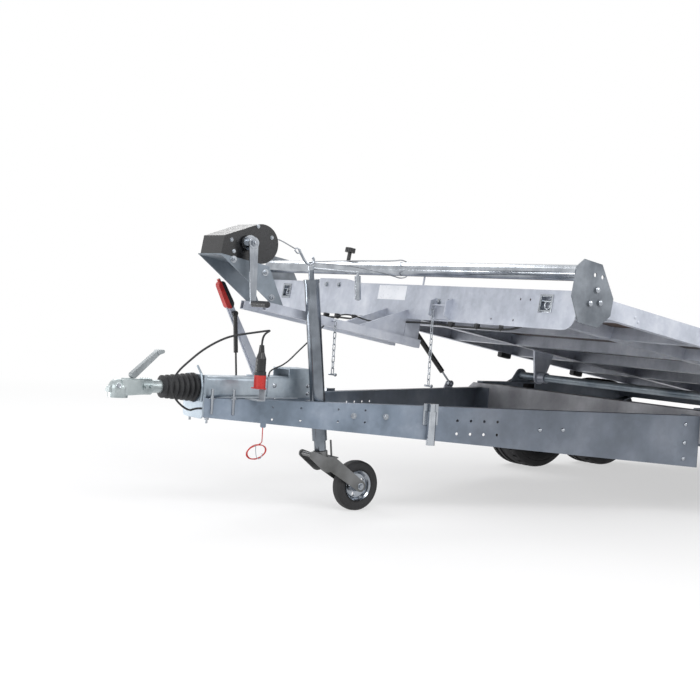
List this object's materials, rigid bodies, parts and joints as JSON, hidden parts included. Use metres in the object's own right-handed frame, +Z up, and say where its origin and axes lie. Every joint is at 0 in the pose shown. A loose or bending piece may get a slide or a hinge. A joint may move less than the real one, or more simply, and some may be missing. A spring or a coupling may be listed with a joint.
{
  "type": "tilt-bed flatbed trailer",
  "caption": "Twin-axle flatbed trailer with a tilting bed, V drawbar, overrun coupling, jockey wheel and hand winch.",
  "frame": {"origin": "on the ground under the centre of the whole trailer", "axes": "+X forward along the drawbar, +Y to the left, +Z up"},
  "size_m": [5.322, 2.124, 1.129],
  "materials": {
    "leg_steel": "weathered galvanised",
    "weathered_steel": "brownish grey galvanised",
    "galvanised_sheet": "matt galvanised",
    "cast_coupling": "zinc plated",
    "zinc_housing": "zinc plated",
    "bright_tube": "smooth zinc plated",
    "plate_steel": "dark galvanised",
    "black_rubber": "matt",
    "tyre_rubber": "matt",
    "black_plastic": "satin",
    "black_paint": "satin",
    "red_plastic": "satin",
    "wheel_paint": "silver paint",
    "plywood": "brown film faced plywood",
    "lamp_red": "gloss"
  },
  "bodies": {
    "chassis": {"drawbar_leg_left": "leg_steel", "drawbar_leg_right": "leg_steel", "main_rail_left": "leg_steel", "main_rail_right": "leg_steel", "front_cross_member": "weathered_steel", "rear_cross_member": "leg_steel", "tilt_shaft": "zinc_housing", "torsion_axle_front": "leg_steel", "torsion_axle_rear": "leg_steel", "overrun_housing": "zinc_housing", "coupling_head": "cast_coupling", "coupling_lever": "galvanised_sheet", "bellows": "black_rubber", "handbrake_bracket": "galvanised_sheet", "handbrake_lever": "galvanised_sheet", "handbrake_grip": "red_plastic", "gas_strut": "black_paint", "parking_socket": "red_plastic", "lead_plug": "black_plastic", "jockey_clamp": "galvanised_sheet", "jockey_tube": "bright_tube", "jockey_crank": "bright_tube", "bed_locks": "bright_tube", "damper_bracket": "galvanised_sheet", "plug_lead": "black_rubber", "breakaway_cable": "red_plastic", "breakaway_coil": "red_plastic", "bed_cable": "black_rubber"},
    "bed": {"side_rail_left": "galvanised_sheet", "side_rail_right": "galvanised_sheet", "bed_subframe": "galvanised_sheet", "front_panel": "galvanised_sheet", "rear_beam": "galvanised_sheet", "tail_lamps": "lamp_red", "bed_floor": "plywood", "wheel_stop_tube": "bright_tube", "tube_end_plates": "plate_steel", "tube_knob": "black_plastic", "lashing_points": "bright_tube", "nose_fork": "galvanised_sheet", "winch_bracket": "galvanised_sheet", "winch_cover": "black_plastic", "winch_crank": "bright_tube", "winch_crank_grip": "black_plastic", "bed_buffers": "black_rubber", "lock_chains": "bright_tube"},
    "damper_tube": {"damper_tube": "black_paint"},
    "damper_rod": {"damper_rod": "bright_tube"},
    "jockey_leg": {"jockey_inner_tube": "bright_tube"},
    "jockey_fork": {"jockey_fork": "bright_tube"},
    "jockey_wheel": {"jockey_rim": "bright_tube", "jockey_tyre": "tyre_rubber"},
    "wheel_front_left": {"front_rim_left": "wheel_paint", "front_tyre_left": "tyre_rubber"},
    "wheel_front_right": {"front_rim_right": "wheel_paint", "front_tyre_right": "tyre_rubber"},
    "wheel_rear_left": {"rear_rim_left": "wheel_paint", "rear_tyre_left": "tyre_rubber"},
    "wheel_rear_right": {"rear_rim_right": "wheel_paint", "rear_tyre_right": "tyre_rubber"}
  },
  "joints": [
    {"name": "bed_tilt", "type": "hinge", "parent": "chassis", "child": "bed", "pos_m": [-0.10696, 0, 0.515], "axis": [0, -1, 0], "range_deg": [-8.95, 0]},
    {"name": "damper_swing", "type": "hinge", "parent": "bed", "child": "damper_tube", "pos_m": [0.8294, -0.6, 0.81735], "axis": [0, -1, 0], "range_deg": [-8.68, 0]},
    {"name": "damper_slide", "type": "slide", "parent": "damper_tube", "child": "damper_rod", "axis": [0.6998, 0, 0.7143], "range_m": [0, 0.06313]},
    {"name": "jockey_height", "type": "slide", "parent": "chassis", "child": "jockey_leg", "axis": [0.135, 0, 0.9908], "range_m": [-0.2, 0.035]},
    {"name": "jockey_swivel", "type": "hinge", "parent": "jockey_leg", "child": "jockey_fork", "pos_m": [1.79104, 0.14, 0.29], "axis": [0.135, 0, 0.9908], "continuous": true},
    {"name": "jockey_wheel_spin", "type": "hinge", "parent": "jockey_fork", "child": "jockey_wheel", "pos_m": [1.60104, 0.14, 0.10294], "axis": [0, 1, 0], "continuous": true},
    {"name": "wheel_front_left_spin", "type": "hinge", "parent": "chassis", "child": "wheel_front_left", "pos_m": [-0.33696, 0.86, 0.25], "axis": [0, 1, 0], "continuous": true},
    {"name": "wheel_front_right_spin", "type": "hinge", "parent": "chassis", "child": "wheel_front_right", "pos_m": [-0.33696, -0.86, 0.25], "axis": [0, 1, 0], "continuous": true},
    {"name": "wheel_rear_left_spin", "type": "hinge", "parent": "chassis", "child": "wheel_rear_left", "pos_m": [-0.86696, 0.86, 0.25], "axis": [0, 1, 0], "continuous": true},
    {"name": "wheel_rear_right_spin", "type": "hinge", "parent": "chassis", "child": "wheel_rear_right", "pos_m": [-0.86696, -0.86, 0.25], "axis": [0, 1, 0], "continuous": true}
  ],
  "couplings": [
    {"joint": "damper_swing", "follows": "bed_tilt", "ratio": 0.96417},
    {"joint": "damper_slide", "follows": "bed_tilt", "m_per_rad": -0.40284}
  ]
}
